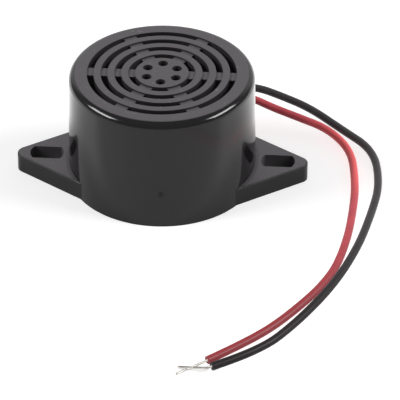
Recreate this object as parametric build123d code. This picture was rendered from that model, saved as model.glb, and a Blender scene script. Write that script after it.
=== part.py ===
from build123d import *
import math
import os

# Piezo buzzer with two slotted mounting lugs and a red and a black lead.
# Millimetres. X runs through the lugs, Z is up, and the origin is the middle of the base.

# Housing shell
body_height = 19.5
body_top_radius = 15.0
wall_draft = 0.8
rim_round = 1.25
top_thickness = 2.0

# Grille in the top
grille_slots = 4
grille_margin = 2.93
slot_inner_radius = 4.33
slot_width = 1.08
spoke_count = 6
spoke_width = 2.2
groove_depth = 0.3
port_count = 6
port_circle_radius = 2.71
port_diameter = 1.6

# Mounting lugs
lug_length = 8.75
lug_tip_radius = 1.65
lug_edge_angle = 34.7
lug_thickness = 3.1
lug_edge_round = 0.4
lug_slot_margin = 2.1
lug_slot_length = 5.5
lug_slot_width = 3.3
lug_slot_end_radius = 2.75

# Inside of the housing, from the top down
front_gap = 0.8
baffle_thickness = 1.0
baffle_rim_width = 1.2
resonator_depth = 2.0
resonator_port_diameter = 4.0
disc_thickness = 0.3
ceramic_margin = 3.5
ceramic_thickness = 0.25
electrode_margin = 0.6
electrode_thickness = 0.05
adhesive_width = 0.7
adhesive_height = 0.7
board_share = 0.71
board_thickness = 1.2
cover_thickness = 1.6
cover_recess = 0.2
fit_clearance = 0.1

# Wall round the cover, and the ledges that stop the cover, the board and the disc
cover_wall = 0.7
cover_ledge = 0.35
board_ledge = 0.35
disc_ledge = 0.4

# Driver circuit, hung under the board
pin_hole_clearance = 0.15
pin_stub = 0.5
solder_radius = 0.65
solder_height = 0.7
solder_lip = 0.08
core_radius = 3.5
core_clearance = 1.2
core_flange = 1.1
core_neck_radius = 1.7
winding_radius = 3.0
core_pin_circle = 2.3
core_pin_diameter = 0.6
transistor_radius = 2.3
transistor_flat = 1.3
transistor_height = 4.6
transistor_standoff = 1.5
transistor_pitch = 1.6
transistor_leg = 0.45
resistor_radius = 1.15
resistor_waist_radius = 0.95
resistor_length = 6.2
resistor_cap = 1.3
resistor_taper = 0.4
resistor_pitch = 9.0
resistor_wire = 0.5
resistor_drop = 1.3

# Where the components stand, as shares of the board's radius
core_share = (-0.448, 0.246)
transistor_share = (0.116, -0.072)
resistor_shares = {"resistor_1": (-0.253, -0.39), "resistor_2": (0.253, -0.65)}
ceramic_joint_shares = ((0.404, 0.274), (0.087, 0.39))

# Wires between the board and the piezo disc
disc_wire_diameter = 0.5
disc_wire_bend = 0.7
disc_solder_radius = 0.9
disc_solder_height = 0.6
brass_wire_angles = (-14.0, 2.0)

# Leads
lead_diameter = 1.3
conductor_diameter = 0.45
lead_azimuth = 60.0
lead_drop = 4.2
lead_pitch = 1.5
lead_hole_clearance = 0.15
lead_rise_inset = 3.45
lead_rise_bend = 1.8
lead_strip = 1.2
glue_radius = 2.3
bare_straight = 0.8

# Routes of the leads, from their straight start at the rear wall to where the insulation ends.
# Each point is X and Y from the outlet, and how much of the outlet's height is left above the floor.
black_straight = 2.6
black_route = [
    (3.4, 5.21, 0.96),
    (6.9, 6.41, 0.85),
    (11.2, 5.01, 0.69),
    (16.0, 2.91, 0.52),
    (21.3, -1.59, 0.32),
    (26.9, -6.19, 0.12),
    (28.1, -15.19, 0.01),
    (27.0, -23.19, 0.0),
    (25.1, -32.69, 0.0),
    (21.65, -42.89, 0.0),
    (16.3, -53.09, 0.0),
    (10.9, -60.69, 0.0),
    (3.9, -64.99, 0.0),
]
red_straight = 2.0
red_route = [
    (3.7, 2.81, 0.93),
    (6.4, 3.01, 0.85),
    (9.5, 1.61, 0.71),
    (13.8, 0.11, 0.54),
    (19.2, -1.69, 0.32),
    (23.2, -6.59, 0.12),
    (24.1, -14.59, 0.01),
    (24.1, -20.89, 0.0),
    (23.35, -31.09, 0.0),
    (21.1, -41.39, 0.0),
    (14.4, -52.19, 0.0),
    (9.0, -58.29, 0.0),
    (3.0, -63.29, 0.0),
]

# The tips of the bare strands, from where the insulation ends
black_bare_tip = (-5.4, 0.3, -0.35)
red_bare_tip = (-5.0, -4.5, 0.7)

# Heights that the sizes above settle
top_underside = body_height - top_thickness
baffle_top = top_underside - front_gap
baffle_underside = baffle_top - baffle_thickness
disc_top = baffle_underside - resonator_depth
disc_underside = disc_top - disc_thickness
ceramic_underside = disc_underside - ceramic_thickness
electrode_underside = ceramic_underside - electrode_thickness
cover_top = cover_recess + cover_thickness
board_underside = cover_top + board_share * (disc_top - board_thickness - cover_top)
board_top = board_underside + board_thickness
lead_height = board_underside - lead_drop
core_height = board_underside - cover_top - core_clearance

# Bores that the wall and its ledges leave, and the pieces that sit in them
base_radius = body_top_radius + body_height * math.tan(math.radians(wall_draft))
cover_bore = body_top_radius - cover_wall
board_bore = cover_bore - cover_ledge
disc_bore = board_bore - board_ledge
baffle_bore = disc_bore - disc_ledge
cover_radius = cover_bore - fit_clearance
board_radius = board_bore - fit_clearance
disc_radius = disc_bore - fit_clearance
baffle_radius = baffle_bore - fit_clearance
front_bore = baffle_radius - baffle_rim_width / 2
ceramic_radius = disc_radius - ceramic_margin
electrode_radius = ceramic_radius - electrode_margin

# Places that follow from the body
lug_reach = body_top_radius + lug_length
lug_slot_centre = lug_reach - lug_slot_margin - lug_slot_length / 2
grille_radius = body_top_radius - grille_margin
slot_pitch = (grille_radius - slot_width - slot_inner_radius) / (grille_slots - 1)
lead_rise_radius = board_radius - lead_rise_inset
brass_joint_radius = (ceramic_radius + disc_radius - adhesive_width) / 2


def on_board(share):
    """A place on the board from its shares of the board's radius."""
    return (share[0] * board_radius, share[1] * board_radius)


core_place = on_board(core_share)
transistor_place = on_board(transistor_share)
resistor_places = {name: on_board(share) for name, share in resistor_shares.items()}
ceramic_wire_ends = [on_board(share) for share in ceramic_joint_shares]

radial = Vector(math.cos(math.radians(lead_azimuth)), math.sin(math.radians(lead_azimuth)), 0)
sideways = Vector(-radial.Y, radial.X, 0)


def disc(radius, low, high):
    return Pos(0, 0, low) * Cylinder(radius, high - low, align=(Align.CENTER, Align.CENTER, Align.MIN))


def turned(points):
    """A solid of revolution about Z from an outline of (radius, height) points."""
    outline = make_face(Plane.XZ * Polyline(*points, close=True))
    return revolve(outline, Axis.Z)


def tube(path, diameter):
    start = Plane(origin=path @ 0, z_dir=path % 0)
    return sweep(start * Circle(diameter / 2), path=path)


# Housing

def lug_outline(side):
    """One lug seen from above: two straight edges that run into a round tip."""
    angle = math.radians(lug_edge_angle)
    tip_centre = lug_reach - lug_tip_radius
    touch_x = tip_centre + lug_tip_radius * math.sin(angle)
    touch_y = lug_tip_radius * math.cos(angle)
    # The foot of the perpendicular from the axis, where the edge lies deepest in the body
    offset = tip_centre * math.sin(angle) + lug_tip_radius
    foot_x = offset * math.sin(angle)
    foot_y = offset * math.cos(angle)
    outline = make_face(
        Polyline(
            (0, 0),
            (foot_x, foot_y),
            (touch_x, touch_y),
            (touch_x, -touch_y),
            (foot_x, -foot_y),
            close=True,
        )
    )
    outline += Pos(tip_centre, 0) * Circle(lug_tip_radius)
    return outline if side > 0 else mirror(outline, Plane.YZ)


def lug_slot_outline(side):
    """A slotted hole with straight sides and shallow arcs at its ends."""
    half_width = lug_slot_width / 2
    half_length = lug_slot_length / 2
    bulge = lug_slot_end_radius - math.sqrt(lug_slot_end_radius**2 - half_width**2)
    corner = half_length - bulge
    outline = make_face(
        [
            Line((-corner, half_width), (corner, half_width)),
            ThreePointArc((corner, half_width), (half_length, 0), (corner, -half_width)),
            Line((corner, -half_width), (-corner, -half_width)),
            ThreePointArc((-corner, -half_width), (-half_length, 0), (-corner, half_width)),
        ]
    )
    return Pos(side * lug_slot_centre, 0) * outline


def lug(side):
    plate = extrude(lug_outline(side), lug_thickness)
    plate = fillet(plate.faces().sort_by(Axis.Z)[-1].edges(), lug_edge_round)
    return plate - extrude(lug_slot_outline(side), lug_thickness)


def outer_form():
    """The drafted round body with its rounded rim."""
    body = turned([(0, 0), (base_radius, 0), (body_top_radius, body_height), (0, body_height)])
    rim = body.edges().group_by(Axis.Z)[-1]
    return fillet(rim, rim_round)


def inner_form():
    """The stepped room inside, wider towards the open base so that each piece goes in from below."""
    return turned(
        [
            (0, 0),
            (cover_bore, 0),
            (cover_bore, cover_top),
            (board_bore, cover_top),
            (board_bore, board_top),
            (disc_bore, board_top),
            (disc_bore, disc_top),
            (baffle_bore, disc_top),
            (baffle_bore, baffle_top),
            (front_bore, baffle_top),
            (front_bore, top_underside),
            (0, top_underside),
        ]
    )


def grille_rings():
    rings = Sketch()
    for number in range(grille_slots):
        inner = slot_inner_radius + number * slot_pitch
        rings += Circle(inner + slot_width) - Circle(inner)
    return rings


def grille_cut():
    """Ring grooves in the top, cut through between the spokes, and round ports in the middle."""
    reach = 2 * body_top_radius
    slots = grille_rings()
    for number in range(spoke_count // 2):
        slots -= Rectangle(reach, spoke_width, rotation=number * 360 / spoke_count)
    ports = PolarLocations(port_circle_radius, port_count, 180 / port_count) * Circle(port_diameter / 2)
    through = extrude(slots + ports, top_thickness)
    grooves = Pos(0, 0, top_thickness - groove_depth) * extrude(grille_rings(), groove_depth)
    return Pos(0, 0, top_underside) * (through + grooves)


def lead_outlet():
    """One flat-sided hole through the rear wall, just wide enough for both leads side by side."""
    across = lead_diameter + 2 * lead_hole_clearance
    inside = board_bore - lead_diameter
    outside = base_radius + lead_diameter
    face = Plane(origin=radial * inside + Vector(0, 0, lead_height), x_dir=sideways, z_dir=radial)
    return extrude(face * SlotCenterToCenter(lead_pitch, across), outside - inside)


def housing():
    shell = outer_form() + lug(1) + lug(-1)
    return shell - inner_form() - grille_cut() - lead_outlet()


# Sound parts

def baffle():
    """A shallow cup that closes the room over the disc, with the resonator's port in its middle."""
    inner = baffle_radius - baffle_rim_width
    port = resonator_port_diameter / 2
    return turned(
        [
            (port, baffle_underside),
            (inner, baffle_underside),
            (inner, disc_top),
            (baffle_radius, disc_top),
            (baffle_radius, baffle_top),
            (port, baffle_top),
        ]
    )


def disc_adhesive():
    """A bead that bonds the brass disc's edge to the wall."""
    inner = disc_radius - adhesive_width
    bottom = disc_underside - adhesive_height
    return turned(
        [
            (inner, disc_underside),
            (disc_radius, disc_underside),
            (disc_radius, disc_top),
            (disc_bore, disc_top),
            (disc_bore, bottom),
        ]
    )


def dome(place, top, radius, height):
    """A flat-topped bead of solder that hangs from a face."""
    bead = Pos(place[0], place[1], top) * Rot(180, 0, 0) * Cone(
        radius, radius * 0.55, height, align=(Align.CENTER, Align.CENTER, Align.MIN)
    )
    return bead


def brass_wire_ends():
    """Where the wire to the brass stands and where it is soldered, on the bare ring round the ceramic."""
    places = []
    for degrees in brass_wire_angles:
        angle = math.radians(degrees)
        places.append((brass_joint_radius * math.cos(angle), brass_joint_radius * math.sin(angle)))
    return places


def disc_wire(ends, top):
    """A thin wire that stands up from the board and turns to run to its bead of solder under the disc."""
    run_height = top - disc_solder_height / 2
    start = (ends[0][0], ends[0][1], board_underside)
    corner = (ends[0][0], ends[0][1], run_height)
    finish = (ends[1][0], ends[1][1], run_height)
    return tube(FilletPolyline(start, corner, finish, radius=disc_wire_bend), disc_wire_diameter)


# Driver circuit

def at_core(number):
    """The places of the inductor's three pins."""
    angle = math.radians(90 + 120 * number)
    return (
        core_place[0] + core_pin_circle * math.cos(angle),
        core_place[1] + core_pin_circle * math.sin(angle),
    )


def at_transistor(number):
    return (transistor_place[0] + (number - 1) * transistor_pitch, transistor_place[1])


def at_resistor(name, side):
    place = resistor_places[name]
    return (place[0] + side * resistor_pitch / 2, place[1])


def lead_rise(side):
    """Where a lead turns up to the board: black on one side of the outlet's middle and red on the other."""
    place = radial * lead_rise_radius + sideways * (side * lead_pitch / 2)
    return (place.X, place.Y)


def joints():
    """Each place where a pin goes through the board, with the pin's diameter."""
    places = [(at_core(number), core_pin_diameter) for number in range(3)]
    places += [(at_transistor(number), transistor_leg * math.sqrt(2)) for number in range(3)]
    places += [(at_resistor(name, side), resistor_wire) for name in resistor_places for side in (-1, 1)]
    places += [(lead_rise(side), conductor_diameter) for side in (-1, 1)]
    places += [(ends[0], disc_wire_diameter) for ends in (ceramic_wire_ends, brass_wire_ends())]
    return places


def pin(place, diameter, low, high):
    return Pos(place[0], place[1], low) * Cylinder(
        diameter / 2, high - low, align=(Align.CENTER, Align.CENTER, Align.MIN)
    )


def circuit_board():
    board = disc(board_radius, board_underside, board_top)
    for place, diameter in joints():
        board -= pin(place, diameter + pin_hole_clearance, board_underside, board_top)
    return board


def board_solder():
    """A cone of solder round each pin on the upper side of the board."""
    cones = []
    for place, diameter in joints():
        cone = Pos(place[0], place[1], board_top) * Cone(
            solder_radius,
            diameter / 2 + solder_lip,
            solder_height,
            align=(Align.CENTER, Align.CENTER, Align.MIN),
        )
        cones.append(cone)
    return cones


def inductor_core():
    """A ferrite drum: two flanges on a neck."""
    low = board_underside - core_height
    drum = turned(
        [
            (0, low),
            (core_radius, low),
            (core_radius, low + core_flange),
            (core_neck_radius, low + core_flange),
            (core_neck_radius, board_underside - core_flange),
            (core_radius, board_underside - core_flange),
            (core_radius, board_underside),
            (0, board_underside),
        ]
    )
    return Pos(*core_place) * drum


def inductor_winding():
    low = board_underside - core_height + core_flange
    high = board_underside - core_flange
    return Pos(*core_place) * (disc(winding_radius, low, high) - disc(core_neck_radius, low, high))


def inductor_pins():
    top = board_top + solder_height + pin_stub / 2
    return [pin(at_core(number), core_pin_diameter, board_underside, top) for number in range(3)]


def transistor_body():
    """A round case with one flat side."""
    top = board_underside - transistor_standoff
    section = Circle(transistor_radius) - Pos(0, -transistor_radius - transistor_flat) * Rectangle(
        2 * transistor_radius, 2 * transistor_radius
    )
    place = Pos(transistor_place[0], transistor_place[1], top - transistor_height)
    return place * extrude(section, transistor_height)


def transistor_legs():
    low = board_underside - transistor_standoff
    top = board_top + solder_height + pin_stub / 2
    legs = []
    for number in range(3):
        place = at_transistor(number)
        leg = Pos(place[0], place[1], low) * Box(
            transistor_leg, transistor_leg, top - low, align=(Align.CENTER, Align.CENTER, Align.MIN)
        )
        legs.append(leg)
    return legs


def resistor_body(name):
    """A round body that lies along X, thicker over its end caps."""
    half = resistor_length / 2
    outline = [
        (0, -half),
        (resistor_radius, -half),
        (resistor_radius, resistor_cap - half),
        (resistor_waist_radius, resistor_cap + resistor_taper - half),
        (resistor_waist_radius, half - resistor_cap - resistor_taper),
        (resistor_radius, half - resistor_cap),
        (resistor_radius, half),
        (0, half),
    ]
    place = resistor_places[name]
    height = board_underside - resistor_drop
    return Pos(place[0], place[1], height) * Rot(0, 90, 0) * turned(outline)


def resistor_wires(name):
    """The two wires, bent from the ends of the body up through the board."""
    place = resistor_places[name]
    height = board_underside - resistor_drop
    top = board_top + solder_height + pin_stub / 2
    wires = []
    for side in (-1, 1):
        start = (place[0] + side * resistor_length / 2, place[1], height)
        corner = (place[0] + side * resistor_pitch / 2, place[1], height)
        finish = (place[0] + side * resistor_pitch / 2, place[1], top)
        wires.append(tube(FilletPolyline(start, corner, finish, radius=resistor_wire), resistor_wire))
    return wires


# Leads

def laid(route, side, straight):
    """A lead's points: square out of the wall, and then down its route to the floor."""
    outlet = radial * body_top_radius
    floor = lead_diameter / 2
    start = outlet + sideways * (side * lead_pitch / 2)
    points = [start, start + radial * straight]
    points = [(point.X, point.Y, lead_height) for point in points]
    for x, y, share in route:
        points.append((outlet.X + x, outlet.Y + y, floor + share * (lead_height - floor)))
    return points


def lead_radii(route):
    """The largest arc that each corner's two runs allow."""
    points = [Vector(*point) for point in route]
    radii = []
    for before, here, after in zip(points, points[1:], points[2:]):
        turn = math.radians((here - before).get_angle(after - here))
        shorter = min((here - before).length, (after - here).length)
        radii.append(0.45 * shorter / math.tan(turn / 2))
    return radii


def lead(name, route):
    radii = lead_radii(route)
    path = FilletPolyline(*route, radius=radii)
    solid = tube(path, lead_diameter)
    section = math.pi * lead_diameter**2 / 4
    print(name, "radii", [round(radius, 1) for radius in radii])
    print(name, "length", round(path.length, 1), "volume", round(solid.volume, 2), "expected", round(section * path.length, 2))
    return solid


def lead_inner(route, side):
    """The stretch of a lead inside the housing, in through the wall and up to the board."""
    rise = lead_rise(side)
    corner = (rise[0], rise[1], lead_height)
    finish = (rise[0], rise[1], board_underside - lead_strip)
    return tube(FilletPolyline(route[0], corner, finish, radius=lead_rise_bend), lead_diameter)


def lead_inner_end(side):
    top = board_top + solder_height + pin_stub / 2
    return pin(lead_rise(side), conductor_diameter, board_underside - lead_strip, top)


def lead_end(route, tip):
    """The bare tinned strands past the insulation."""
    last = Vector(*route[-1])
    onward = (last - Vector(*route[-2])).normalized()
    knee = last + onward * bare_straight
    return tube(FilletPolyline(last, knee, last + Vector(*tip), radius=bare_straight * 0.9), conductor_diameter)


def lead_glue(leads):
    """A bead of glue on the inside of the wall that holds both leads."""
    centre = radial * (board_bore - 0.4) + Vector(0, 0, lead_height)
    bead = Pos(*centre) * Sphere(glue_radius)
    bead = bead & disc(board_bore, cover_top, board_underside)
    for piece in leads:
        bead -= piece
    return bead


def minus(pieces, others):
    """Each piece without the pins that pass through it."""
    return Compound([piece - others for piece in pieces])


def build():
    parts = {}
    parts["housing"] = housing()
    parts["baffle"] = baffle()
    parts["brass_disc"] = disc(disc_radius, disc_underside, disc_top)
    parts["piezo_ceramic"] = disc(ceramic_radius, ceramic_underside, disc_underside)
    parts["silver_electrode"] = disc(electrode_radius, electrode_underside, ceramic_underside)
    parts["disc_adhesive"] = disc_adhesive()
    parts["circuit_board"] = circuit_board()
    parts["back_cover"] = disc(cover_radius, cover_recess, cover_top)

    parts["inductor_core"] = inductor_core()
    parts["inductor_winding"] = inductor_winding()
    parts["inductor_pins"] = Compound(inductor_pins())
    parts["transistor_body"] = transistor_body()
    parts["transistor_legs"] = Compound(transistor_legs())
    for name in resistor_places:
        parts[name + "_body"] = resistor_body(name)
        parts[name + "_wires"] = Compound(resistor_wires(name))

    parts["ceramic_wire"] = disc_wire(ceramic_wire_ends, electrode_underside)
    parts["brass_wire"] = disc_wire(brass_wire_ends(), disc_underside)
    for name, ends, top in (
        ("ceramic", ceramic_wire_ends, electrode_underside),
        ("brass", brass_wire_ends(), disc_underside),
    ):
        bead = dome(ends[1], top, disc_solder_radius, disc_solder_height)
        parts[name + "_solder"] = bead - parts[name + "_wire"]

    for name, route, side, straight, tip in (
        ("black_lead", black_route, 1, black_straight, black_bare_tip),
        ("red_lead", red_route, -1, red_straight, red_bare_tip),
    ):
        points = laid(route, side, straight)
        parts[name] = lead(name, points)
        parts[name + "_inner"] = lead_inner(points, side)
        parts[name + "_inner_end"] = lead_inner_end(side)
        parts[name + "_end"] = lead_end(points, tip)
    parts["lead_glue"] = lead_glue([parts["black_lead_inner"], parts["red_lead_inner"]])

    through = Compound(
        [
            parts["inductor_pins"],
            parts["transistor_legs"],
            parts["resistor_1_wires"],
            parts["resistor_2_wires"],
            parts["ceramic_wire"],
            parts["brass_wire"],
            parts["black_lead_inner_end"],
            parts["red_lead_inner_end"],
        ]
    )
    parts["board_solder"] = minus(board_solder(), through)
    return parts


os.makedirs("parts", exist_ok=True)
for name, shape in build().items():
    export_step(shape, "parts/" + name + ".step")
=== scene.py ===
# %% [markdown]
# # Piezo buzzer
#
# A round black sounder with a ring grille, two slotted lugs and a red and a black lead.
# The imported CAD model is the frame: it gives every piece its real place. Blender adds what the
# eye sees, such as the sheen of moulded plastic, the soft PVC of the leads and their bare strands.

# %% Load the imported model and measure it
import math

import bmesh
import bpy
from mathutils import Matrix, Vector


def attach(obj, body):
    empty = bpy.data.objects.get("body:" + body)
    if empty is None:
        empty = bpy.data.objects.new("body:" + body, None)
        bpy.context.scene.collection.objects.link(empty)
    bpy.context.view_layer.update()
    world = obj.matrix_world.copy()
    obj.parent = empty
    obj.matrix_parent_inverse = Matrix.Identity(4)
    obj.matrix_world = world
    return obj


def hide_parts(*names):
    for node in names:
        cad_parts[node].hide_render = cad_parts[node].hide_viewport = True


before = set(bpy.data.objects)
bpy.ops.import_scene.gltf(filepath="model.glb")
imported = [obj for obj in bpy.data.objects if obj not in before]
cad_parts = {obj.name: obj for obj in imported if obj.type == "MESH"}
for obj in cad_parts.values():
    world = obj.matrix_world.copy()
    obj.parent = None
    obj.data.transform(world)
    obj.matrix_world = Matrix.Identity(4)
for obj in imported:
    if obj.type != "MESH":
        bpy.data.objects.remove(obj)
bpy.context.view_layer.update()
MM = 0.001

# %% [markdown]
# ## Camera
#
# The photograph looks down on the buzzer at about 35 degrees, from far away with a long lens, so
# its rings look like plain ellipses. A camera's place, turn and focal length can be worked out
# from circles whose true size is known, and these numbers come from the grille and the lugs.

# %% Camera
camera = bpy.data.objects.new("camera", bpy.data.cameras.new("camera"))
bpy.context.scene.collection.objects.link(camera)
camera.location = (39.1 * MM, -494.74 * MM, 345.44 * MM)
camera.rotation_euler = (math.radians(54.726), 0.0, math.radians(3.81))
camera.data.lens = 332.24
camera.data.sensor_width = 36.0
camera.data.clip_start = 0.01
bpy.context.scene.camera = camera
print("camera", [round(v, 4) for v in camera.location], "lens", camera.data.lens)

# %% [markdown]
# ## Leads
#
# Each lead is one thin stranded wire in soft PVC. It leaves the rear wall straight, droops to the
# table and lies there in a wide bend. A NURBS curve with a round bevel is the right tool: its
# control points pull the line without kinks, so it bends as a real wire does.

# %% Lead routes
LEAD_DIAMETER = 1.3 * MM
OUTLET = Vector((7.5, 12.99038, 0))
LEAD_HEIGHT = 5.197
FLOOR_HEIGHT = 0.65

black_start = [(6.85048, 13.36538, LEAD_HEIGHT), (8.15048, 15.61705, LEAD_HEIGHT)]
black_points = [
    (3.4, 5.21, 0.96), (6.9, 6.41, 0.85), (11.2, 5.01, 0.69), (16.0, 2.91, 0.52), (21.3, -1.59, 0.32),
    (26.9, -6.19, 0.12), (28.1, -15.19, 0.01), (27.0, -23.19, 0.0), (25.1, -32.69, 0.0),
    (21.65, -42.89, 0.0), (16.3, -53.09, 0.0), (10.9, -60.69, 0.0), (3.9, -64.99, 0.0),
]
red_start = [(8.14952, 12.61538, LEAD_HEIGHT), (9.14952, 14.34743, LEAD_HEIGHT)]
red_points = [
    (3.7, 2.81, 0.93), (6.4, 3.01, 0.85), (9.5, 1.61, 0.71), (13.8, 0.11, 0.54), (19.2, -1.69, 0.32),
    (23.2, -6.59, 0.12), (24.1, -14.59, 0.01), (24.1, -20.89, 0.0), (23.35, -31.09, 0.0),
    (21.1, -41.39, 0.0), (14.4, -52.34, 0.0), (9.0, -58.49, 0.0), (3.15, -63.49, 0.0),
]


def laid(start, points):
    """The route in millimetres: the third number is how much of the outlet's height is left."""
    route = [Vector(point) for point in start]
    for x, y, share in points:
        height = FLOOR_HEIGHT + share * (LEAD_HEIGHT - FLOOR_HEIGHT)
        route.append(Vector((OUTLET.x + x, OUTLET.y + y, height)))
    return route


black_route = laid(black_start, black_points)
red_route = laid(red_start, red_points)
print("ends", [round(v, 2) for v in black_route[-1]], [round(v, 2) for v in red_route[-1]])


# %% Curves from routes
def smooth_curve(name, route, diameter=0.0):
    """An open NURBS curve of order 3 through a route in millimetres."""
    data = bpy.data.curves.new(name, "CURVE")
    data.dimensions = "3D"
    spline = data.splines.new("NURBS")
    spline.points.add(len(route) - 1)
    for control, place in zip(spline.points, route):
        control.co = (*(place * MM), 1.0)
        control.radius = diameter / 2
    spline.order_u = 3
    spline.use_endpoint_u = True
    spline.resolution_u = 16
    data.bevel_depth = 1.0 if diameter else 0.0
    data.bevel_resolution = 8
    data.use_fill_caps = True
    curve = bpy.data.objects.new(name, data)
    bpy.context.scene.collection.objects.link(curve)
    return curve


black_lead = smooth_curve("black_lead_pvc", black_route, LEAD_DIAMETER)
red_lead = smooth_curve("red_lead_pvc", red_route, LEAD_DIAMETER)
print("leads made")


# %% [markdown]
# ## Bare strands
#
# Past the insulation each conductor is a twist of fine tinned copper strands. They could be one
# thin cylinder, but the twist catches the light in a row of dots, and that is what the photograph
# shows. So the middle line is read from a curve, and seven strands wind round it.

# %% Read the middle line of a curve
def line_of(curve):
    """The points of a curve that has no bevel, in order from its start."""
    graph = bpy.context.evaluated_depsgraph_get()
    mesh = bpy.data.meshes.new_from_object(curve.evaluated_get(graph))
    points = [vertex.co.copy() for vertex in mesh.vertices]
    bpy.data.meshes.remove(mesh)
    return points


# %% Wind strands round a line
STRAND_DIAMETER = 0.125 * MM
TWIST_PITCH = 2.2 * MM


def strands_along(name, route):
    """Six strands round a straight one, as a single mesh of round tubes."""
    guide = smooth_curve(name + "_guide", route)
    line = line_of(guide)
    bpy.data.objects.remove(guide)
    data = bpy.data.curves.new(name, "CURVE")
    data.dimensions = "3D"
    travelled = [0.0]
    for before, after in zip(line, line[1:]):
        travelled.append(travelled[-1] + (after - before).length)
    for number in range(7):
        spline = data.splines.new("POLY")
        spline.points.add(len(line) - 1)
        for index, place in enumerate(line):
            ahead = line[min(index + 1, len(line) - 1)] - line[max(index - 1, 0)]
            across = ahead.cross(Vector((0, 0, 1))).normalized()
            over = across.cross(ahead).normalized()
            turn = math.tau * (number / 6 + travelled[index] / TWIST_PITCH)
            offset = 0.0 if number == 6 else STRAND_DIAMETER
            shift = across * math.cos(turn) * offset + over * math.sin(turn) * offset
            spline.points[index].co = (*(place + shift), 1.0)
            spline.points[index].radius = STRAND_DIAMETER / 2
    data.bevel_depth = 1.0
    data.bevel_resolution = 2
    data.use_fill_caps = True
    curve = bpy.data.objects.new(name, data)
    bpy.context.scene.collection.objects.link(curve)
    return curve


def bare_route(route, tip):
    """From the end of the insulation straight on for a little, and then over to the tip."""
    last = route[-1]
    onward = (last - route[-2]).normalized()
    knee = last + onward * 0.8
    end = last + Vector(tip)
    return [last - onward * 0.3, last + onward * 0.3, knee, knee.lerp(end, 0.4), knee.lerp(end, 0.8), end]


black_end = strands_along("black_strands", bare_route(black_route, (-5.2, 0.05, -0.35)))
red_end = strands_along("red_strands", bare_route(red_route, (-4.45, -4.4, 0.6)))

for lead, end, node, route, length in (
    (black_lead, black_end, "black_lead", black_route, 100.3 * MM),
    (red_lead, red_end, "red_lead", red_route, 90.7 * MM),
):
    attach(lead, "root")
    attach(end, "root")
    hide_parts(node)
    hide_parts(node + "_end")
print("strands made")

# %% [markdown]
# ## A short way to write shaders
#
# A material is a net of nodes. Wiring each by hand hides the thought behind it, so one small class
# wraps a socket. Its Python signs add Math nodes, and one method adds any other node.

# %% Sockets that can be written as sums
class Signal:
    """One output socket of a node tree."""

    def __init__(self, tree, socket=None):
        self.tree = tree
        self.socket = socket

    def node(self, kind, settings=None, sockets=None, out=0):
        """Adds a node: its settings first, then a value or a link for each named socket."""
        made = self.tree.nodes.new(kind)
        for name, value in (settings or {}).items():
            if name == "stops":
                ramp = made.color_ramp
                while len(ramp.elements) < len(value):
                    ramp.elements.new(0.5)
                for element, (place, colour) in zip(ramp.elements, value):
                    element.position = place
                    element.color = (*colour, 1.0)
            else:
                setattr(made, name, value)
        for name, value in (sockets or {}).items():
            if isinstance(value, Signal):
                self.tree.links.new(value.socket, made.inputs[name])
            else:
                made.inputs[name].default_value = value
        return Signal(self.tree, made.outputs[out])

    def maths(self, operation, *values, clamp=False):
        settings = {"operation": operation, "use_clamp": clamp}
        return self.node("ShaderNodeMath", settings, dict(enumerate(values)))

    def __add__(self, other):
        return self.maths("ADD", self, other)

    __radd__ = __add__

    def __sub__(self, other):
        return self.maths("SUBTRACT", self, other)

    def __rsub__(self, other):
        return self.maths("SUBTRACT", other, self)

    def __mul__(self, other):
        return self.maths("MULTIPLY", self, other)

    __rmul__ = __mul__

    def __truediv__(self, other):
        return self.maths("DIVIDE", self, other)

    def __pow__(self, other):
        return self.maths("POWER", self, other)

    def sine(self):
        return self.maths("SINE", self)

    def larger(self, other):
        return self.maths("MAXIMUM", self, other)

    def smaller(self, other):
        return self.maths("MINIMUM", self, other)

    def size(self):
        return self.maths("ABSOLUTE", self)

    def step(self, low, high):
        """0 below low, 1 above high and a soft slope between them."""
        settings = {"interpolation_type": "SMOOTHSTEP"}
        return self.node("ShaderNodeMapRange", settings, {"Value": self, "From Min": low, "From Max": high})

    def blend(self, first, second):
        """A colour between two, with this signal as the share of the second."""
        sockets = {0: self, 6: first, 7: second}
        return self.node("ShaderNodeMix", {"data_type": "RGBA"}, sockets, out=2)


class Finish:
    """A material with one Principled shader, and its object coordinates in metres."""

    def __init__(self, name, **constants):
        self.material = bpy.data.materials.new(name)
        self.material.use_nodes = True
        tree = self.material.node_tree
        self.shader = tree.nodes["Principled BSDF"]
        self.start = Signal(tree)
        self.place = self.start.node("ShaderNodeTexCoord", out="Object")
        for socket, value in constants.items():
            self.put(socket, value)

    def put(self, socket, value):
        target = self.shader.inputs[socket.replace("_", " ")]
        if isinstance(value, Signal):
            self.start.tree.links.new(value.socket, target)
        else:
            target.default_value = (*value, 1.0) if isinstance(value, tuple) else value

    def axis(self, letter):
        return self.start.node("ShaderNodeSeparateXYZ", sockets={"Vector": self.place}, out=letter)

    def noise(self, size, detail=3.0, roughness=0.5, stretch=(1, 1, 1)):
        """Soft blobs about this many millimetres across, drawn out along an axis where stretch is less."""
        scaled = self.start.node("ShaderNodeMapping", sockets={"Vector": self.place, "Scale": stretch})
        sockets = {"Vector": scaled, "Scale": 1 / (size * MM), "Detail": detail, "Roughness": roughness}
        return self.start.node("ShaderNodeTexNoise", sockets=sockets)

    def bump(self, height, distance, strength=1.0):
        """A Bump node whose full height is this many millimetres."""
        sockets = {"Height": height, "Distance": distance * MM, "Strength": strength}
        return self.start.node("ShaderNodeBump", sockets=sockets)


print("shader words ready")

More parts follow.
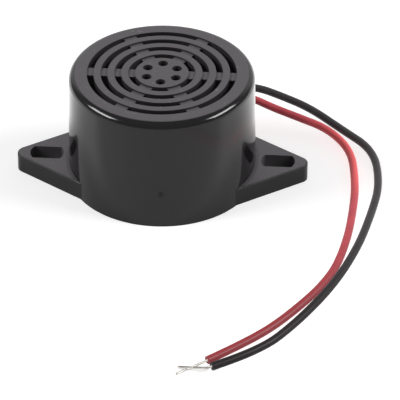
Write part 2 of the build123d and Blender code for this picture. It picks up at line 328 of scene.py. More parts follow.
# %% [markdown]
# ## Black moulded plastic
#
# The housing is black ABS. Its walls come glossy from a polished mould, while the grille and the
# tops of the lugs have the fine grain of an etched one, so they look grey under a pale light. One
# material can hold both finishes: a mask that is 1 where a face looks up steers colour, roughness
# and grain. The lug tops are painted a lighter grey than the top of the housing, as painted light
# that makes up for the shade the body casts on them. The walls of the slots are a third finish,
# dull and painted paler than the outer wall, and in the grille paler still with depth: painted
# light, so that the slots don't close up into plain black. A faint dark spot low on the front
# wall is the mark of the gate, where the plastic was let into the mould: black as the base of a
# partly metallic finish mirrors less, so it takes some of the shine away there.

# %% Black plastic
DEEP_BLACK = (0.0085, 0.0075, 0.0085, 1)
GRAINED_BLACK = (0.077, 0.071, 0.077, 1)
SLOT_BLACK = (0.028, 0.026, 0.028, 1)
# Painted light: the deep part of the grille's slot walls is painted paler, as if light reached it.
SLOT_DEPTH_PAINTED_LIGHT = (0.085, 0.078, 0.085, 1)
# Painted light: the walls of the lug slots are painted paler than black, as if light reached them.
LUG_SLOT_PAINTED_LIGHT = (0.080, 0.075, 0.080, 1)
# Painted light: the lug tops are painted lighter than the top of the housing, to make up for the shade the body
# casts on them.
LUG_TOP_PAINTED_LIGHT = (0.112, 0.104, 0.112, 1)
DUST = (0.30, 0.29, 0.28, 1)
GATE_BLACK = (0.001, 0.001, 0.001, 1)
GATE = (0.89, 6.25)
PANEL_RADIUS = 13.6
PANEL_LOW = 17.2
LUG_SLOT_NEAR, LUG_SLOT_FAR, LUG_SLOT_HALF = 16.1, 21.7, 1.67


def moulded_plastic(name):
    """Glossy on its walls, finely grained where it looks up, and dull inside its slots, with painted light in the
    slots and on the lug tops.
    """
    finish = Finish(name, IOR=1.47)
    facing = finish.start.node("ShaderNodeTexCoord", out="Normal")
    looks_up = finish.start.node("ShaderNodeSeparateXYZ", sockets={"Vector": facing}, out="Z").step(0.955, 0.995)
    x, y, z = (finish.axis(letter) / MM for letter in "XYZ")
    radius = (x ** 2.0 + y ** 2.0) ** 0.5
    panel = (1 - radius.step(PANEL_RADIUS, PANEL_RADIUS + 0.1)) * z.step(PANEL_LOW, PANEL_LOW + 0.1)
    out, aside = x.size(), y.size()
    in_lug = out.step(LUG_SLOT_NEAR - 0.1, LUG_SLOT_NEAR) * (1 - out.step(LUG_SLOT_FAR, LUG_SLOT_FAR + 0.1))
    lug_slot = in_lug * (1 - aside.step(LUG_SLOT_HALF, LUG_SLOT_HALF + 0.05))
    grain = finish.noise(0.16, 4.0, 0.65)
    ripple = finish.noise(4.0, 2.0, 0.5)
    cloud = finish.noise(6.0, 3.0, 0.6)
    gate = 1 - ((x - GATE[0]) ** 2.0 + (z * 0.75 - GATE[1] * 0.75) ** 2.0).step(0.02, 0.30)
    gate = gate * (1 - y.step(-15.0, -14.8))
    dust = finish.noise(0.55, 2.0, 0.5).step(0.715, 0.735) * looks_up
    # Painted light in the grille's slots: the colour of their walls gets paler with depth.
    slots = z.step(17.6, 19.0).blend(SLOT_DEPTH_PAINTED_LIGHT, SLOT_BLACK)
    # Painted light in the lug slots: their walls take the paler colour.
    walls = lug_slot.blend(panel.blend(DEEP_BLACK, slots), LUG_SLOT_PAINTED_LIGHT)
    lugs = radius.step(15.6, 15.9)
    walls = gate.blend(walls, GATE_BLACK)
    # Painted light on the lug tops: their grained colour is lighter than the housing top's.
    base = (dust * 0.5).blend(looks_up.blend(walls, lugs.blend(GRAINED_BLACK, LUG_TOP_PAINTED_LIGHT)), DUST)
    dull = looks_up.larger(panel).larger(lug_slot).larger(lugs * z.step(2.55, 2.75))
    finish.put("Base Color", base)
    finish.put("Roughness", dull * (0.42 + cloud * 0.10) + (1 - dull) * (0.10 + cloud * 0.05 + gate * 0.1))
    finish.put("Metallic", gate * 0.27)
    finish.put("Normal", finish.bump(grain * looks_up * 0.010 + ripple * 0.0025 - gate * 0.02, 1.0))
    return finish.material


black_plastic = moulded_plastic("black_moulded_plastic")
print("plastic", black_plastic.name)

# %% [markdown]
# ## Working with bmesh
#
# Every piece below starts as a few points or a simple shape in a bmesh, in millimetres. Operators
# such as spin, extrude and bevel then do what a lathe, a press and a file would do.


# %% Bench tools
def as_object(bm, name, smooth_angle=None):
    """A mesh object at the origin from a bmesh in millimetres."""
    bmesh.ops.scale(bm, vec=(MM, MM, MM), verts=bm.verts)
    mesh = bpy.data.meshes.new(name)
    bm.to_mesh(mesh)
    bm.free()
    if smooth_angle is not None:
        mesh.shade_smooth()
        mesh.set_sharp_from_angle(angle=math.radians(smooth_angle))
    made = bpy.data.objects.new(name, mesh)
    bpy.context.scene.collection.objects.link(made)
    return made


def section(bm, points, closed=True):
    """A chain of edges in the XZ plane through points of radius and height."""
    verts = [bm.verts.new((radius, 0, height)) for radius, height in points]
    pairs = list(zip(verts, verts[1:]))
    if closed:
        pairs.append((verts[-1], verts[0]))
    edges = [bm.edges.new(pair) for pair in pairs]
    return verts + edges


def lathe(bm, points, steps, closed=True):
    """Spins a section all the way round Z."""
    bmesh.ops.spin(bm, geom=section(bm, points, closed), cent=(0, 0, 0), axis=(0, 0, 1),
                   angle=math.tau, steps=steps, use_merge=True, use_duplicate=False)
    bmesh.ops.remove_doubles(bm, verts=bm.verts, dist=1e-5)
    bmesh.ops.recalc_face_normals(bm, faces=bm.faces)


def bevel(bm, edges, offset, segments):
    bmesh.ops.bevel(bm, geom=edges, offset=offset, offset_type="OFFSET", segments=segments,
                    profile=0.5, affect="EDGES", material=-1, clamp_overlap=True)


def is_ring(edge, radius, height, slack=0.02):
    """True for an edge of the circle with this radius at this height."""
    return all(abs(v.co.z - height) < slack and abs(math.hypot(v.co.x, v.co.y) - radius) < slack for v in edge.verts)


def arc(bm, centre_x, radius, first, last, steps=14):
    """A chain of edges round (centre_x, 0) in the XY plane, from one angle to another in degrees."""
    angle = math.radians(first)
    point = bm.verts.new((centre_x + radius * math.cos(angle), radius * math.sin(angle), 0))
    bmesh.ops.spin(bm, geom=[point], cent=(centre_x, 0, 0), axis=(0, 0, 1),
                   angle=math.radians(last - first), steps=steps)
    bm.verts.ensure_lookup_table()
    return bm.verts[-steps - 1:]


def plate(bm, chains, low, high):
    """Joins chains of points into one outline and raises it from low to high."""
    for chain, following in zip(chains, chains[1:] + chains[:1]):
        bm.edges.new((chain[-1], following[0]))
    bmesh.ops.edgeloop_fill(bm, edges=bm.edges[:])
    bmesh.ops.translate(bm, verts=bm.verts, vec=(0, 0, low))
    pushed = bmesh.ops.extrude_face_region(bm, geom=bm.faces[:])
    lifted = [part for part in pushed["geom"] if isinstance(part, bmesh.types.BMVert)]
    bmesh.ops.translate(bm, verts=lifted, vec=(0, 0, high - low))
    bmesh.ops.recalc_face_normals(bm, faces=bm.faces)


def combine(body, tool, operation):
    """Joins or cuts a body with a tool, and keeps only the result."""
    work = body.modifiers.new("combine", "BOOLEAN")
    work.operation = operation
    work.solver = "EXACT"
    work.object = tool
    graph = bpy.context.evaluated_depsgraph_get()
    mesh = bpy.data.meshes.new_from_object(body.evaluated_get(graph))
    body.modifiers.clear()
    old = body.data
    body.data = mesh
    bpy.data.meshes.remove(old)
    tool_mesh = tool.data
    bpy.data.objects.remove(tool)
    bpy.data.meshes.remove(tool_mesh)


def wear(piece, material, slot, *nodes):
    """Gives a piece its finish and its place on the body, and hides the CAD nodes that it stands for."""
    piece.data.materials.clear()
    piece.data.materials.append(material)
    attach(piece, "root")
    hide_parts(*nodes)
    return piece


print("bench ready")

# %% [markdown]
# ## Housing
#
# The real housing is one moulding: a round cup that is open below, with a ring grille in its top
# and a slotted lug on each side. A lathe shape is quick and exact for the cup, so its section is
# spun round Z. The lugs are joined to it and every opening is cut with a solid of its own.

# %% Measures of the housing, in millimetres
BODY_HEIGHT = 19.5
TOP_RADIUS = 15.0
BASE_RADIUS = TOP_RADIUS + BODY_HEIGHT * math.tan(math.radians(0.8))
RIM_ROUND = 1.25
TOP_UNDERSIDE = 17.5
STEPS = 180
RING_HEIGHTS = (11.0, 7.4, 3.6)
print("base radius", round(BASE_RADIUS, 3))


def wall_radius(height):
    return BASE_RADIUS + (TOP_RADIUS - BASE_RADIUS) * height / BODY_HEIGHT


# %% [markdown]
# Rings of edges just above the lugs and above the outlet keep the cuts there from bending the
# shading of the tall wall.

# %% The cup
cup_bm = bmesh.new()
lathe(cup_bm, [
    (TOP_RADIUS, BODY_HEIGHT), *((wall_radius(height), height) for height in RING_HEIGHTS), (BASE_RADIUS, 0), (14.3, 0), (14.3, 1.8), (13.95, 1.8), (13.95, 10.597),
    (13.6, 10.597), (13.6, 13.7), (13.2, 13.7), (13.2, 16.7), (12.5, 16.7), (12.5, TOP_UNDERSIDE),
], STEPS, closed=False)
bmesh.ops.holes_fill(cup_bm, edges=cup_bm.edges[:], sides=0)
bmesh.ops.recalc_face_normals(cup_bm, faces=cup_bm.faces)
bevel(cup_bm, [edge for edge in cup_bm.edges if is_ring(edge, TOP_RADIUS, BODY_HEIGHT)], RIM_ROUND, 10)
cup = as_object(cup_bm, "housing_shell")
print("cup faces", len(cup.data.polygons))

# %% [markdown]
# ### Lugs
#
# Seen from above each lug is a wedge with a round tip, and its straight edges run on to where they
# would just touch the body. Its slot has straight sides and shallow arcs, not half circles.

# %% Lugs
LUG_TIP_CENTRE = 22.1
LUG_TIP = 1.65
LUG_ANGLE = 34.7
LUG_THICKNESS = 3.1
LUG_ROUND = 0.25
SLOT_CENTRE = 18.9
SLOT_LENGTH = 5.5
SLOT_WIDTH = 3.3
SLOT_END_RADIUS = 2.75


def face_side(bm, side):
    """Turns a piece made for the right-hand lug to the left one."""
    if side < 0:
        bmesh.ops.rotate(bm, cent=(0, 0, 0), matrix=Matrix.Rotation(math.pi, 3, "Z"), verts=bm.verts)


def lug(side):
    angle = math.radians(LUG_ANGLE)
    reach = LUG_TIP_CENTRE * math.sin(angle) + LUG_TIP
    foot = (reach * math.sin(angle), reach * math.cos(angle))
    bm = bmesh.new()
    tip = arc(bm, LUG_TIP_CENTRE, LUG_TIP, LUG_ANGLE - 90, 90 - LUG_ANGLE)
    feet = [bm.verts.new((foot[0], sign * foot[1], 0)) for sign in (1, -1)]
    bm.edges.new(feet)
    plate(bm, [tip, feet], 0, LUG_THICKNESS)
    top = [e for e in bm.edges if all(v.co.z > LUG_THICKNESS - 0.01 for v in e.verts)]
    bevel(bm, [e for e in top if not all(v.co.x < foot[0] + 0.01 for v in e.verts)], LUG_ROUND, 4)
    face_side(bm, side)
    return as_object(bm, "lug")


def slot_cutter(side):
    half = math.degrees(math.asin(SLOT_WIDTH / 2 / SLOT_END_RADIUS))
    reach = SLOT_LENGTH / 2 - SLOT_END_RADIUS
    bm = bmesh.new()
    outer = arc(bm, SLOT_CENTRE + reach, SLOT_END_RADIUS, -half, half)
    inner = arc(bm, SLOT_CENTRE - reach, SLOT_END_RADIUS, 180 - half, 180 + half)
    plate(bm, [outer, inner], -1, LUG_THICKNESS + 1)
    face_side(bm, side)
    return as_object(bm, "slot_cutter")


def room_cutter():
    """The wedges would stick into the room inside the cup, so this takes that part off."""
    bm = bmesh.new()
    lathe(bm, [(0, -1), (14.8, -1), (14.8, LUG_THICKNESS + 1), (0, LUG_THICKNESS + 1)], STEPS, closed=False)
    return as_object(bm, "room_cutter")


for side in (1, -1):
    wedge = lug(side)
    combine(wedge, room_cutter(), "DIFFERENCE")
    combine(wedge, slot_cutter(side), "DIFFERENCE")
    combine(cup, wedge, "UNION")
print("with lugs", len(cup.data.polygons))

# %% [markdown]
# ### Grille
#
# Four shallow grooves run all the way round. Between the six spokes they go right through. A
# stepped cutter makes both at once: a ring whose underside is pushed down between the spokes, so
# no two cuts share a wall and the edges stay clean.

# %% Grille
RING_INNER = 4.33
RING_PITCH = 2.22
RING_WIDTH = 1.08
RING_COUNT = 4
SPOKE_WIDTH = 2.2
GROOVE_FLOOR = BODY_HEIGHT - 0.3
PORT_CIRCLE = 2.71
PORT_RADIUS = 0.8


def grille_cutter():
    bm = bmesh.new()
    for ring in range(RING_COUNT):
        inner = RING_INNER + ring * RING_PITCH
        outer = inner + RING_WIDTH
        lathe(bm, [(inner, GROOVE_FLOOR), (outer, GROOVE_FLOOR), (outer, BODY_HEIGHT + 1), (inner, BODY_HEIGHT + 1)], STEPS)
    across = [Vector((-math.sin(math.radians(a)), math.cos(math.radians(a)), 0)) for a in (0, 60, 120)]
    for normal in across:
        for side in (0.5, -0.5):
            bmesh.ops.bisect_plane(bm, geom=bm.verts[:] + bm.edges[:] + bm.faces[:], dist=1e-6,
                                   plane_co=normal * SPOKE_WIDTH * side, plane_no=normal)
    bm.normal_update()
    open_between = []
    for face in bm.faces:
        centre = face.calc_center_median()
        clear = min(abs(centre.dot(normal)) for normal in across)
        if face.normal.z < -0.9 and clear > SPOKE_WIDTH / 2:
            open_between.append(face)
    pushed = bmesh.ops.extrude_face_region(bm, geom=open_between)
    bmesh.ops.delete(bm, geom=open_between, context="FACES")
    lowered = [part for part in pushed["geom"] if isinstance(part, bmesh.types.BMVert)]
    bmesh.ops.translate(bm, verts=lowered, vec=(0, 0, 17.0 - GROOVE_FLOOR))
    for number in range(6):
        angle = math.radians(30 + 60 * number)
        place = Matrix.Translation((PORT_CIRCLE * math.cos(angle), PORT_CIRCLE * math.sin(angle), BODY_HEIGHT - 1))
        bmesh.ops.create_cone(bm, segments=40, radius1=PORT_RADIUS, radius2=PORT_RADIUS, depth=3.4,
                              cap_ends=True, matrix=place)
    bmesh.ops.recalc_face_normals(bm, faces=bm.faces)
    return as_object(bm, "grille_cutter")


combine(cup, grille_cutter(), "DIFFERENCE")
print("with grille", len(cup.data.polygons))


# %% The hole that both leads come out of
def outlet_cutter():
    bm = bmesh.new()
    right = arc(bm, 0.75, 0.8, -90, 90)
    left = arc(bm, -0.75, 0.8, 90, 270)
    plate(bm, [right, left], 0, 4)
    outward = Vector((0.5, math.sqrt(3) / 2, 0))
    sideways = Vector((-outward.y, outward.x, 0))
    turn = Matrix((sideways, Vector((0, 0, 1)), outward)).transposed()
    bmesh.ops.rotate(bm, cent=(0, 0, 0), matrix=turn, verts=bm.verts)
    bmesh.ops.translate(bm, verts=bm.verts, vec=outward * 12.65 + Vector((0, 0, LEAD_HEIGHT)))
    bmesh.ops.recalc_face_normals(bm, faces=bm.faces)
    return as_object(bm, "outlet_cutter")


combine(cup, outlet_cutter(), "DIFFERENCE")
shell_bm = bmesh.new()
shell_bm.from_mesh(cup.data)
bmesh.ops.remove_doubles(shell_bm, verts=shell_bm.verts, dist=1e-7)
flat_edges = [edge for edge in shell_bm.edges if all(abs(face.normal.z) > 0.999 for face in edge.link_faces)]
flat_verts = [vert for vert in shell_bm.verts if all(abs(face.normal.z) > 0.999 for face in vert.link_faces)]
bmesh.ops.dissolve_limit(shell_bm, angle_limit=math.radians(0.2), verts=flat_verts, edges=flat_edges)
print("open edges", sum(1 for edge in shell_bm.edges if not edge.is_manifold))
shell_bm.to_mesh(cup.data)
shell_bm.free()
cup.data.shade_smooth()
cup.data.set_sharp_from_angle(angle=math.radians(30))
edge_round = cup.modifiers.new("edge_round", "BEVEL")
edge_round.width = 0.08 * MM
edge_round.segments = 2
edge_round.limit_method = "ANGLE"
edge_round.angle_limit = math.radians(40)
weighted = cup.modifiers.new("weighted", "WEIGHTED_NORMAL")
weighted.keep_sharp = False
wear(cup, black_plastic, "housing_plastic", "housing")
print("housing faces", len(cup.data.polygons))

# %% [markdown]
# ## Lead covering
#
# Soft PVC is dyed through. Its colour is painted paler round the right-hand bend, a painted
# highlight where the light falls on it, and darker towards the ends, a painted shade. What tells it
# from paint is a broad, soft highlight and a skin that is never quite smooth from the extruder. The
# glossy wall of the housing would mirror the leads and their shadow as broad smears that the
# photograph doesn't show, so its reflections leave them out and they cast no shadow.


# %% Soft PVC
# Painted highlight: the leads are painted paler round this point on the bend. Painted shade: they are painted darker
# towards their ends, between these places in Y.
BEND = (29.0, 3.5)
BEND_NEAR, BEND_FAR = 4.5, 12.0
PAINTED_SHADE_FROM, PAINTED_SHADE_TO = -4.0, -40.0


def soft_pvc(name, dark, light, painted_bend_highlight, painted_end_shade, gloss, shine=0.5):
    finish = Finish(name, IOR=1.5, Specular_IOR_Level=shine)
    cloud = finish.noise(2.2, 3.0, 0.6)
    x, y = (finish.axis(letter) / MM for letter in "XY")
    from_bend = ((x - BEND[0]) ** 2.0 + (y - BEND[1]) ** 2.0) ** 0.5
    # Painted highlight round the bend, and painted shade towards the ends of the lead.
    painted_highlight_share = 1 - from_bend.step(BEND_NEAR, BEND_FAR)
    dyed = cloud.step(0.3, 0.7).blend((*dark, 1), (*light, 1))
    dyed_with_painted_shade = (1 - y.step(PAINTED_SHADE_TO, PAINTED_SHADE_FROM)).blend(dyed, (*painted_end_shade, 1))
    finish.put("Base Color", painted_highlight_share.blend(dyed_with_painted_shade, (*painted_bend_highlight, 1)))
    finish.put("Roughness", gloss + cloud * 0.12)
    finish.put("Normal", finish.bump(finish.noise(0.35, 3.0, 0.6) * 0.012, 1.0))
    return finish.material


red_pvc = soft_pvc("red_pvc", (0.52, 0.060, 0.080), (0.62, 0.080, 0.100), (0.92, 0.130, 0.140),
                   (0.30, 0.026, 0.034), 0.42)
black_pvc = soft_pvc("black_pvc", (0.040, 0.037, 0.039), (0.054, 0.050, 0.053), (0.066, 0.062, 0.065),
                     (0.014, 0.010, 0.011), 0.40, shine=0.28)
red_lead.data.materials.append(red_pvc)
black_lead.data.materials.append(black_pvc)
for lead in (red_lead, black_lead):
    lead.visible_glossy = False
    lead.visible_shadow = False
print("coverings", red_pvc.name, black_pvc.name)


# %% Tinned copper
def tinned_copper():
    finish = Finish("tinned_copper", Metallic=1.0)
    cloud = finish.noise(0.4, 3.0, 0.6)
    finish.put("Base Color", cloud.step(0.35, 0.7).blend((0.58, 0.56, 0.52, 1), (0.78, 0.76, 0.72, 1)))
    finish.put("Roughness", 0.26 + cloud * 0.2)
    finish.put("Normal", finish.bump(finish.noise(0.06, 2.0) * 0.004, 1.0))
    return finish.material


tin = tinned_copper()
black_end.data.materials.append(tin)
red_end.data.materials.append(tin)

# %% [markdown]
# ## Parts inside
#
# The baffle shows through the grille, and the rest shows once the back cover is off. Their CAD
# shapes are right already, so each keeps its shape and gets a finish of its own: what tells brass
# from solder, or ferrite from epoxy, is colour, gloss and the marks that its making leaves.


# %% Dress a CAD node
def dress(material, *names):
    """Gives CAD nodes a material, and leaves their shapes alone."""
    for name in names:
        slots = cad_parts[name].data.materials
        slots.clear()
        slots.append(material)


dress(tin, "inductor_pins", "transistor_legs", "resistor_1_wires", "resistor_2_wires",
      "black_lead_inner_end", "red_lead_inner_end", "black_lead_end", "red_lead_end")
dress(red_pvc, "red_lead", "red_lead_inner")
dress(black_pvc, "black_lead", "black_lead_inner")
dress(black_plastic, "housing")
print("wires and leads dressed")


# %% Matt black plastic for the baffle and the back cover
def matt_plastic(name, dark, light):
    """Plastic that comes grained all over from its mould."""
    finish = Finish(name, IOR=1.5)
    cloud = finish.noise(5.0, 3.0, 0.6)
    finish.put("Base Color", cloud.step(0.3, 0.7).blend((*dark, 1), (*light, 1)))
    finish.put("Roughness", 0.48 + cloud * 0.12)
    finish.put("Normal", finish.bump(finish.noise(0.16, 4.0, 0.65) * 0.012, 1.0))
    return finish.material


# Painted light: the baffle is painted a much paler black than the back cover, so the shade seen through the grille's
# slots doesn't close up into plain black.
dress(matt_plastic("baffle_plastic_painted_light", (0.070, 0.065, 0.070), (0.085, 0.079, 0.085)), "baffle")
dress(matt_plastic("black_cover_plastic", (0.017, 0.016, 0.017), (0.026, 0.025, 0.026)), "back_cover")
print("baffle and cover dressed")


# %% [markdown]
# ### The sounding disc
#
# A disc of rolled brass carries a thin disc of fired ceramic, with a film of fired silver on that.
# Rolling leaves fine lines that all run one way, so its noise is drawn out along X. The ceramic is
# chalky and faintly speckled, and silver paste dries with the weave of the screen it went through.

# %% Brass, ceramic and silver
def rolled_brass():
    finish = Finish("rolled_brass", Metallic=1.0)
    lines = finish.noise(0.12, 3.0, 0.6, stretch=(0.04, 1, 1))
    tarnish = finish.noise(5.0, 4.0, 0.6).step(0.45, 0.75)
    finish.put("Base Color", tarnish.blend((0.74, 0.53, 0.23, 1), (0.58, 0.38, 0.16, 1)))
    finish.put("Roughness", 0.22 + lines * 0.16 + tarnish * 0.12)
    finish.put("Normal", finish.bump(lines * 0.003, 1.0))
    return finish.material


def fired_ceramic():
    finish = Finish("fired_ceramic", IOR=1.6)
    speckle = finish.noise(0.25, 3.0, 0.7).step(0.35, 0.75)
    finish.put("Base Color", speckle.blend((0.62, 0.57, 0.44, 1), (0.50, 0.45, 0.34, 1)))
    finish.put("Roughness", 0.5 + speckle * 0.2)
    finish.put("Normal", finish.bump(finish.noise(0.10, 3.0, 0.6) * 0.006, 1.0))
    return finish.material


def silver_paste():
    finish = Finish("silver_paste", Metallic=1.0)
    warp, weft = ((finish.axis(letter) * (math.tau / (0.12 * MM))).sine() for letter in "XY")
    cloud = finish.noise(2.5, 4.0, 0.6)
    finish.put("Base Color", cloud.step(0.3, 0.7).blend((0.80, 0.78, 0.73, 1), (0.70, 0.67, 0.61, 1)))
    finish.put("Roughness", 0.42 + cloud * 0.15)
    finish.put("Normal", finish.bump(warp * weft * 0.002 + cloud * 0.003, 1.0))
    return finish.material


dress(rolled_brass(), "brass_disc")
dress(fired_ceramic(), "piezo_ceramic")
dress(silver_paste(), "silver_electrode")
print("disc dressed")


# %% [markdown]
# ### Adhesives
#
# White silicone seals the edge of the disc and milky hot melt holds the leads. Both let a little
# light in below the surface, which a touch of subsurface scattering shows, and both set wavy.

# %% Silicone and hot melt
def soft_set(name, pale, deep, depth, gloss):
    finish = Finish(name, IOR=1.45, Subsurface_Weight=0.35, Subsurface_Scale=depth * MM)
    cloud = finish.noise(1.6, 3.0, 0.55)
    finish.put("Base Color", cloud.step(0.3, 0.7).blend((*pale, 1), (*deep, 1)))
    finish.put("Roughness", gloss + cloud * 0.15)
    finish.put("Normal", finish.bump(finish.noise(0.9, 2.0, 0.5) * 0.05, 1.0))
    return finish.material


dress(soft_set("white_silicone", (0.78, 0.78, 0.76), (0.70, 0.70, 0.68), 0.3, 0.38), "disc_adhesive")
dress(soft_set("milky_hot_melt", (0.74, 0.72, 0.64), (0.62, 0.60, 0.52), 0.8, 0.22), "lead_glue")
print("adhesives dressed")


# %% [markdown]
# ### Circuit board
#
# A board like this is phenolic paper with copper on one side only. The tracks run from joint to
# joint under a green lacquer, so each track is drawn by its distance from a straight line, in
# Object coordinates. The bare side stays brown, with the faint fibres of the paper.

# %% Circuit board
JOINTS = {
    "core_a": (-6.205, 5.707), "core_b": (-8.197, 2.257), "core_c": (-4.213, 2.257),
    "leg_1": (0.337, -0.997), "leg_2": (1.607, -0.997), "leg_3": (2.877, -0.997),
    "first_left": (-8.004, -5.402), "first_right": (0.996, -5.402),
    "second_left": (-0.996, -9.003), "second_right": (8.004, -9.003),
    "black_lead": (4.55, 9.38), "red_lead": (5.85, 8.63), "ceramic": (5.595, 3.795), "brass": (11.06, -2.758),
}
TRACKS = (
    ("black_lead", "core_a"), ("core_b", "first_left"), ("core_c", "leg_1"), ("leg_3", "brass"),
    ("red_lead", "ceramic"), ("ceramic", "leg_3"), ("first_right", "leg_2"), ("second_left", "first_right"),
    ("second_right", "brass"),
)
TRACK_WIDTH = 1.1
PAD_WIDTH = 1.9
BOARD_TOP = 10.597


def board_finish():
    finish = Finish("phenolic_board", IOR=1.5)
    x, y = finish.axis("X") / MM, finish.axis("Y") / MM
    nearest = None
    for first, second in TRACKS:
        ax, ay = JOINTS[first]
        bx, by = JOINTS[second]
        length = math.hypot(bx - ax, by - ay)
        ux, uy = (bx - ax) / length, (by - ay) / length
        along = (x - ax) * ux + (y - ay) * uy
        beyond = along - along.larger(0.0).smaller(length)
        aside = (x - ax) * -uy + (y - ay) * ux
        distance = (beyond * beyond + aside * aside) ** 0.5
        nearest = distance if nearest is None else nearest.smaller(distance)
    upper = finish.axis("Z").step((BOARD_TOP - 0.05) * MM, (BOARD_TOP - 0.02) * MM)
    copper = 1 - nearest.step(TRACK_WIDTH / 2, TRACK_WIDTH / 2 + 0.12)
    fibre = finish.noise(0.5, 4.0, 0.65, stretch=(0.15, 1, 1))
    paper = fibre.step(0.3, 0.75).blend((0.42, 0.24, 0.10, 1), (0.34, 0.18, 0.07, 1))
    lacquer = copper.blend((0.030, 0.110, 0.045, 1), (0.070, 0.205, 0.075, 1))
    finish.put("Base Color", upper.blend(paper, lacquer))
    finish.put("Roughness", 0.48 + fibre * 0.15 - upper * 0.25)
    finish.put("Normal", finish.bump(copper * upper * 0.035 + fibre * 0.006, 1.0))
    return finish.material


dress(board_finish(), "circuit_board")


# %% [markdown]
# ### Solder
#
# Solder sets bright but never quite smooth, with a faint frost where it cooled last. The same
# finish serves the joints on the board and the two beads on the disc.

# %% Solder
def set_solder():
    finish = Finish("set_solder", Metallic=1.0)
    frost = finish.noise(0.35, 4.0, 0.65).step(0.4, 0.7)
    finish.put("Base Color", frost.blend((0.66, 0.66, 0.64, 1), (0.52, 0.52, 0.51, 1)))
    finish.put("Roughness", 0.18 + frost * 0.22)
    finish.put("Normal", finish.bump(finish.noise(0.3, 3.0, 0.6) * 0.02, 1.0))
    return finish.material


dress(set_solder(), "board_solder", "ceramic_solder", "brass_solder")
print("solder dressed")


# %% [markdown]
# ### Components
#
# Ferrite is a dark sintered powder with sparkling grains. The transistor is moulded in matt black
# epoxy. Resistors are dipped in beige lacquer and carry four rings of colour, which say their value
# in ohms, so the rings are bands along X.

# %% Ferrite, epoxy and thin sleeves
def ferrite():
    finish = Finish("ferrite", IOR=1.9)
    grains = finish.noise(0.12, 3.0, 0.7)
    finish.put("Base Color", grains.step(0.55, 0.75).blend((0.028, 0.027, 0.028, 1), (0.10, 0.10, 0.10, 1)))
    finish.put("Roughness", 0.52 + grains * 0.2)
    finish.put("Normal", finish.bump(grains * 0.02, 1.0))
    return finish.material


def thin_sleeve(name, colour):
    finish = Finish(name, IOR=1.5)
    cloud = finish.noise(1.0, 3.0, 0.6)
    finish.put("Base Color", (cloud * 0.3).blend((*colour, 1), (0.02, 0.02, 0.02, 1)))
    finish.put("Roughness", 0.3 + cloud * 0.15)
    finish.put("Normal", finish.bump(finish.noise(0.2, 3.0, 0.6) * 0.006, 1.0))
    return finish.material


dress(ferrite(), "inductor_core")
dress(matt_plastic("black_epoxy", (0.013, 0.013, 0.014), (0.020, 0.020, 0.021)), "transistor_body")
dress(thin_sleeve("red_sleeve", (0.48, 0.04, 0.05)), "ceramic_wire")
dress(thin_sleeve("blue_sleeve", (0.05, 0.10, 0.36)), "brass_wire")
print("components dressed")


# %% Resistors
BROWN, BLACK, RED, YELLOW, GOLD = (0.13, 0.05, 0.02), (0.01, 0.01, 0.01), (0.50, 0.03, 0.03), (0.62, 0.42, 0.03), (0.52, 0.36, 0.10)
BAND_PLACES = (-2.45, -1.15, -0.25, 2.4)
BAND_WIDTH = 0.5


def banded_resistor(name, centre, bands):
    """Beige lacquer with four rings of colour across X."""
    finish = Finish(name, IOR=1.5)
    cloud = finish.noise(1.2, 3.0, 0.6)
    x = finish.axis("X") / MM - centre
    colour = cloud.step(0.3, 0.7).blend((0.58, 0.45, 0.29, 1), (0.66, 0.53, 0.36, 1))
    for place, paint in zip(BAND_PLACES, bands):
        off = (x - place).size()
        colour = (1 - off.step(BAND_WIDTH / 2 - 0.04, BAND_WIDTH / 2 + 0.04)).blend(colour, (*paint, 1))
    finish.put("Base Color", colour)
    finish.put("Roughness", 0.24 + cloud * 0.14)
    finish.put("Normal", finish.bump(cloud * 0.03, 1.0))
    return finish.material


dress(banded_resistor("resistor_lacquer_1", -3.504, (BROWN, BLACK, RED, GOLD)), "resistor_1_body")
dress(banded_resistor("resistor_lacquer_2", 3.504, (YELLOW, BLACK, BROWN, GOLD)), "resistor_2_body")
print("resistors dressed")


# %% [markdown]
# ### Winding
#
# The coil is fine enamelled copper, laid turn beside turn between the flanges. In CAD it is a plain
# ring. A wavy section that is spun round the core's middle gives every turn a round back.

# %% Winding
CORE = (-6.205, 3.407)
COIL_LOW, COIL_HIGH = 4.1, 8.297
COIL_RADIUS, NECK_RADIUS = 3.0, 1.7
TURNS = 24


def winding_turns():
    pitch = (COIL_HIGH - COIL_LOW) / TURNS
    outline = [(NECK_RADIUS, COIL_HIGH), (NECK_RADIUS, COIL_LOW)]
    for turn in range(TURNS):
        for part in range(6):
            angle = math.radians(-75 + 30 * part)
            outline.append((COIL_RADIUS - pitch / 2 + pitch / 2 * math.cos(angle),
                            COIL_LOW + pitch * (turn + 0.5) + pitch / 2 * math.sin(angle)))
    bm = bmesh.new()
    lathe(bm, outline, 72)
    bmesh.ops.translate(bm, verts=bm.verts, vec=(*CORE, 0))
    return as_object(bm, "winding_turns", smooth_angle=50)


def enamelled_copper():
    finish = Finish("enamelled_copper", Metallic=0.85, Coat_Weight=0.6, Coat_Roughness=0.12)
    cloud = finish.noise(1.2, 3.0, 0.6)
    finish.put("Base Color", cloud.step(0.3, 0.7).blend((0.55, 0.21, 0.08, 1), (0.42, 0.15, 0.06, 1)))
    finish.put("Roughness", 0.24 + cloud * 0.14)
    finish.put("Normal", finish.bump(finish.noise(0.25, 3.0, 0.6) * 0.004, 1.0))
    return finish.material


copper = enamelled_copper()
dress(copper, "inductor_winding")
winding = wear(winding_turns(), copper, "enamelled_copper", "inductor_winding")
print("turns", TURNS, "faces", len(winding.data.polygons))

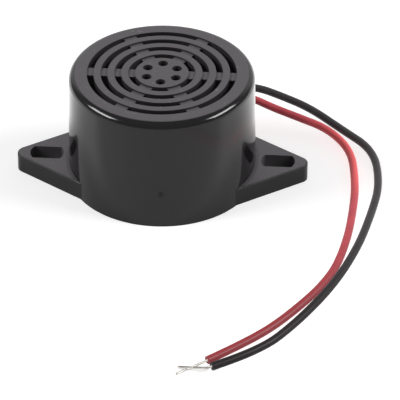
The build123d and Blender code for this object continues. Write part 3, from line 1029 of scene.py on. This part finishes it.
# %% [markdown]
# ## Floor, light and surroundings
#
# The buzzer stands on plain white paper in a dim room, with a large soft lamp on each side. The
# lamps draw the two bright streaks on the rim, and the dark room shows as the band that runs round
# it. The floor is a pale diffuse sheet that glows a little, for the camera and for reflections
# only, so that it reads as white paper and still takes the object's soft shadow. A white backdrop
# behind the table shows in reflections only, and there it greys the rim at its two sides.

# %% Floor
CAMERA_GLOW = 0.38
SIDE_GLOW = 0.38
BACK_GLOW = 0.45

floor_bm = bmesh.new()
bmesh.ops.create_grid(floor_bm, x_segments=1, y_segments=1, size=3000)
bmesh.ops.translate(floor_bm, verts=floor_bm.verts, vec=(0, 0, -0.02))
floor = as_object(floor_bm, "floor")
paper = Finish("pale_floor", Base_Color=(0.80, 0.80, 0.80), Roughness=0.9, IOR=1.3, Emission_Strength=1.0)
seen = paper.start.node("ShaderNodeLightPath", out="Is Camera Ray")
mirrored = paper.start.node("ShaderNodeLightPath", out="Is Glossy Ray")
x, y = paper.axis("X"), paper.axis("Y")
away = ((x / 1.6) ** 2.0 + y ** 2.0) ** 0.5
# Painted reflection: in reflections only, the floor glows, none in front of the buzzer, some level with it and more
# behind it, and none within about 15 to 21 mm of it, so the glossy wall mirrors bright sides and a darker foot.
clear = away.step(15 * MM, 21 * MM)
reflected_glow_share = y.step(-20 * MM, -11 * MM) * SIDE_GLOW + y.step(-4 * MM, 20 * MM) * BACK_GLOW
glow = seen * CAMERA_GLOW + mirrored * clear * reflected_glow_share
paper.put("Emission Color", glow.blend((0, 0, 0, 1), (1, 1, 1, 1)))
floor.data.materials.append(paper.material)

# %% World
ROOM = (0.28, 0.28, 0.28, 1)
BACKDROP = 0.95
BACKDROP_SIDE = (0.58, 0.84)
BACKDROP_TOP = (0.52, 0.72)
world = bpy.data.worlds.new("studio")
bpy.context.scene.world = world
world.use_nodes = True
sky = Signal(world.node_tree)
background = world.node_tree.nodes["Background"]
camera_ray = sky.node("ShaderNodeLightPath", out="Is Camera Ray")
glossy_ray = sky.node("ShaderNodeLightPath", out="Is Glossy Ray")
direction = sky.node("ShaderNodeTexCoord", out="Generated")
sideways, backwards, upwards = (sky.node("ShaderNodeSeparateXYZ", sockets={"Vector": direction}, out=letter)
                                for letter in "XYZ")
level = (sideways ** 2.0 + backwards ** 2.0) ** 0.5
behind = (backwards / level).step(*BACKDROP_SIDE)
backdrop = behind * (1 - upwards.step(*BACKDROP_TOP)) * glossy_ray
white = camera_ray.larger(backdrop * BACKDROP)
world.node_tree.links.new(white.blend(ROOM, (1, 1, 1, 1)).socket, background.inputs["Color"])


# %% Soft lamps
def softbox(name, place, size, power):
    data = bpy.data.lights.new(name, "AREA")
    data.shape = "RECTANGLE"
    data.size, data.size_y = size
    data.energy = power
    lamp = bpy.data.objects.new(name, data)
    bpy.context.scene.collection.objects.link(lamp)
    lamp.location = place
    aim = Vector((0.005, -0.01, 0.005)) - Vector(place)
    lamp.rotation_euler = aim.to_track_quat("-Z", "Y").to_euler()
    return lamp


softbox("left_softbox", (-0.85, -0.16, 0.66), (0.62, 0.30), 8.0)
softbox("right_softbox", (0.85, -0.02, 0.66), (0.62, 0.30), 8.0)
bpy.context.scene.view_settings.view_transform = "Standard"
